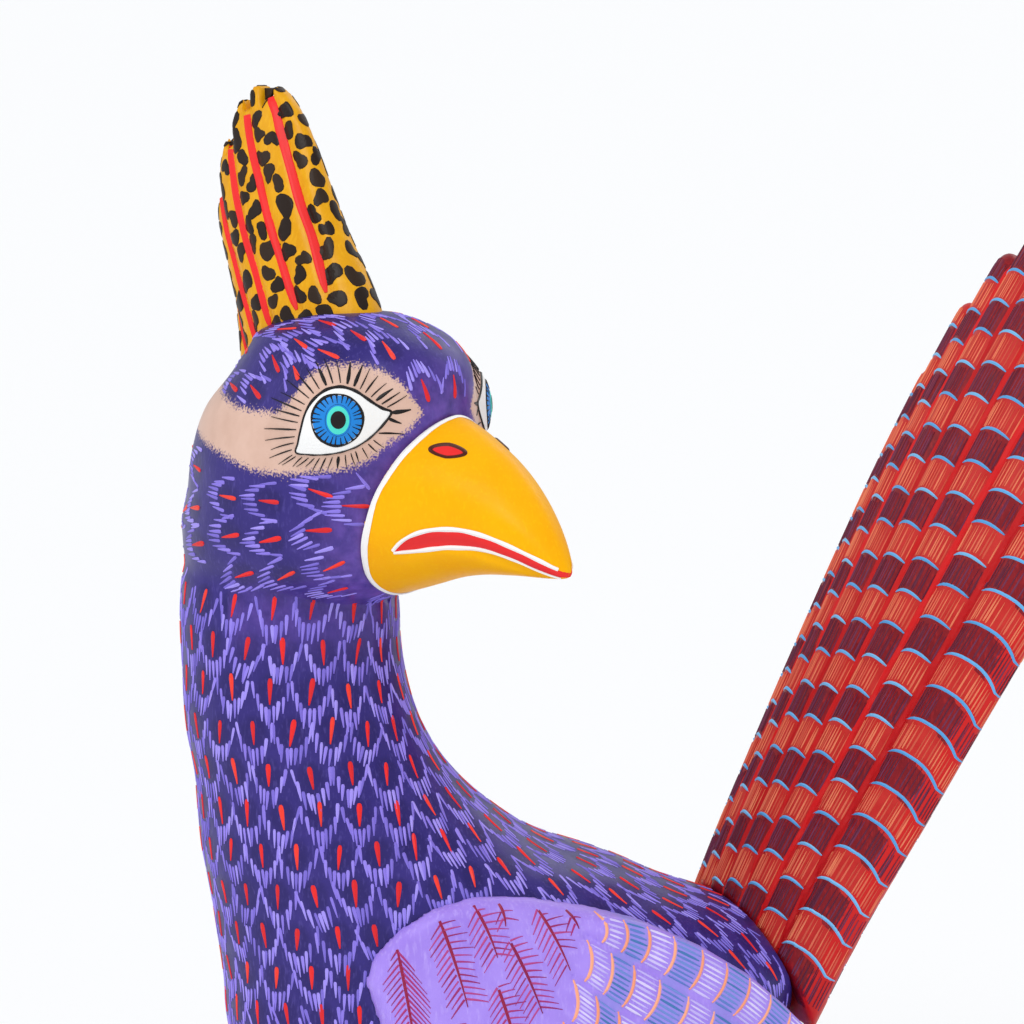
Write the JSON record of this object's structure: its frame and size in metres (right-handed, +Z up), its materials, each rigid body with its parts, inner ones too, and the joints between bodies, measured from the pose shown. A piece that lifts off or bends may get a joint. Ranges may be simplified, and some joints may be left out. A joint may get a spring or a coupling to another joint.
{
  "type": "alebrije bird figure",
  "caption": "Carved and painted wooden bird figure, standing, head turned back, tall crest, hooked beak, folded wings and a raised fan tail that pulls off on a round peg.",
  "frame": {"origin": "centre of the bounding box's base, on the surface the feet stand on", "axes": "+Z up, along the longest side; the chest faces -X and the tail rises towards +X; -Y is the bird's left, where the head looks"},
  "size_m": [0.2784, 0.1518, 0.3813],
  "materials": {
    "indigo_paint": "satin",
    "yellow_paint": "satin",
    "crest_paint": "satin",
    "lavender_paint": "satin",
    "red_paint": "satin",
    "bare_wood": "matte"
  },
  "bodies": {
    "figure": {"trunk": "indigo_paint", "beak": "yellow_paint", "beak_dowel": "bare_wood", "crest": "crest_paint", "crest_dowels": "bare_wood", "left_wing": "lavender_paint", "right_wing": "lavender_paint", "left_wing_dowels": "bare_wood", "right_wing_dowels": "bare_wood", "left_leg": "indigo_paint", "right_leg": "indigo_paint", "left_hip_dowel": "bare_wood", "right_hip_dowel": "bare_wood", "left_foot": "yellow_paint", "right_foot": "yellow_paint", "left_ankle_dowel": "bare_wood", "right_ankle_dowel": "bare_wood"},
    "tail": {"tail": "red_paint", "tail_peg": "bare_wood"}
  },
  "joints": [
    {"name": "tail_pull", "type": "slide", "parent": "figure", "child": "tail", "axis": [0.4384, 0, 0.8988], "range_m": [0, 0.036]}
  ]
}
